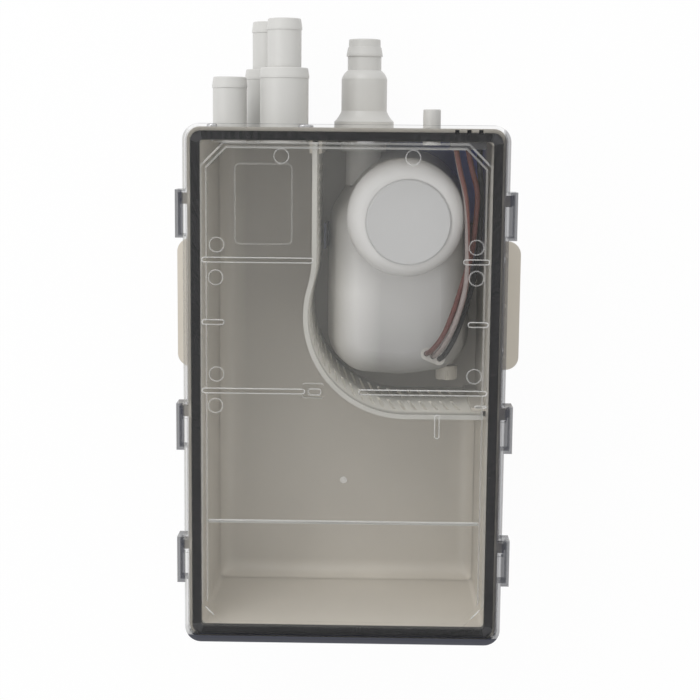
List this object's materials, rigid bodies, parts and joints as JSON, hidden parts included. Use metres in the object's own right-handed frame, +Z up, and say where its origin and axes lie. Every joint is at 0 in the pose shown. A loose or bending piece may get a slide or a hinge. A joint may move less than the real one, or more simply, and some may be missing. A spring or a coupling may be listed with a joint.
{
  "type": "shower sump pump",
  "caption": "Shower drain sump with a clear latched lid, stepped hose barbs, strainer curtain and an automatic impeller pump inside.",
  "frame": {"origin": "underside of the tub's floor, at the middle of the tub's rim outline", "axes": "+Z up out of the lid, +Y towards the end wall with the hose barbs, +X to the right when seen from above with the barbs at the far side"},
  "size_m": [0.21, 0.3491, 0.108],
  "materials": {
    "off_white_plastic": "moulded, satin",
    "clear_plastic": "clear, polished",
    "black_rubber": "moulded",
    "grey_rubber": "moulded",
    "port_plastic": "moulded, satin",
    "white_plastic": "moulded",
    "curtain_plastic": "moulded strip",
    "pump_plastic": "moulded",
    "label_plastic": "smooth, bare",
    "knob_plastic": "moulded",
    "dark_plastic": "moulded",
    "navy_plastic": "moulded",
    "stainless": "plain",
    "plated_steel": "zinc plated",
    "brass": "plain",
    "copper": "enamelled copper, brass stands in for copper",
    "magnet": "ferrite",
    "carbon": "carbon, cast iron stands in for it",
    "brown_sleeve": "flexible sleeve",
    "striped_sleeve": "flexible sleeve with a tracer",
    "black_sleeve": "flexible sleeve"
  },
  "bodies": {
    "sump": {"base_tub": "off_white_plastic", "lid_gasket": "black_rubber", "inlet_manifold": "port_plastic", "manifold_gasket": "black_rubber", "manifold_screws": "stainless", "outlet_fitting": "port_plastic", "outlet_seal": "black_rubber", "outlet_clip": "stainless", "discharge_tube": "white_plastic", "discharge_seals": "black_rubber", "flap_pin": "stainless", "vent_spigot": "port_plastic", "wire_connector": "dark_plastic", "connector_terminals": "brass", "pump_strainer_base": "navy_plastic", "base_screws": "stainless", "pump_lower_housing": "pump_plastic", "volute_cover": "pump_plastic", "housing_seal": "black_rubber", "pump_upper_housing": "pump_plastic", "label_disc": "label_plastic", "motor_can": "plated_steel", "motor_end_plate": "white_plastic", "motor_magnets": "magnet", "upper_bearing": "brass", "lower_bearing": "brass", "shaft_seal": "black_rubber", "brush_card": "dark_plastic", "brushes": "carbon", "brush_springs": "stainless", "spindle_bush": "white_plastic", "float_switch": "dark_plastic", "cable_gland": "grey_rubber", "lead_brown": "brown_sleeve", "lead_striped": "striped_sleeve", "lead_black": "black_sleeve"},
    "lid": {"lid": "clear_plastic"},
    "curtain": {"strainer_curtain": "curtain_plastic"},
    "rotor": {"motor_shaft": "stainless", "armature_core": "plated_steel", "armature_windings": "copper", "commutator": "copper", "impeller": "dark_plastic"},
    "float_arm": {"float": "dark_plastic", "float_magnet": "magnet", "float_spindle": "stainless", "test_knob": "knob_plastic"},
    "valve_flap": {"check_flap": "black_rubber"}
  },
  "joints": [
    {"name": "lid_lift", "type": "slide", "parent": "sump", "child": "lid", "axis": [0, 0, 1], "range_m": [0, 0.08]},
    {"name": "curtain_lift", "type": "slide", "parent": "sump", "child": "curtain", "axis": [0, 0, 1], "range_m": [0, 0.04]},
    {"name": "rotor_spin", "type": "hinge", "parent": "sump", "child": "rotor", "pos_m": [0.033, 0.0944, 0.04], "axis": [0, 0, 1], "continuous": true},
    {"name": "float_swing", "type": "hinge", "parent": "sump", "child": "float_arm", "pos_m": [0.0596, 0.03, 0.029], "axis": [0, 1, 0], "range_deg": [0, 18]},
    {"name": "flap_swing", "type": "hinge", "parent": "sump", "child": "valve_flap", "pos_m": [0.0087, 0.1515, 0.0403], "axis": [1, 0, 0], "range_deg": [0, 55]}
  ],
  "couplings": [
    {"joint": "curtain_lift", "follows": "lid_lift", "ratio": 0.5}
  ]
}
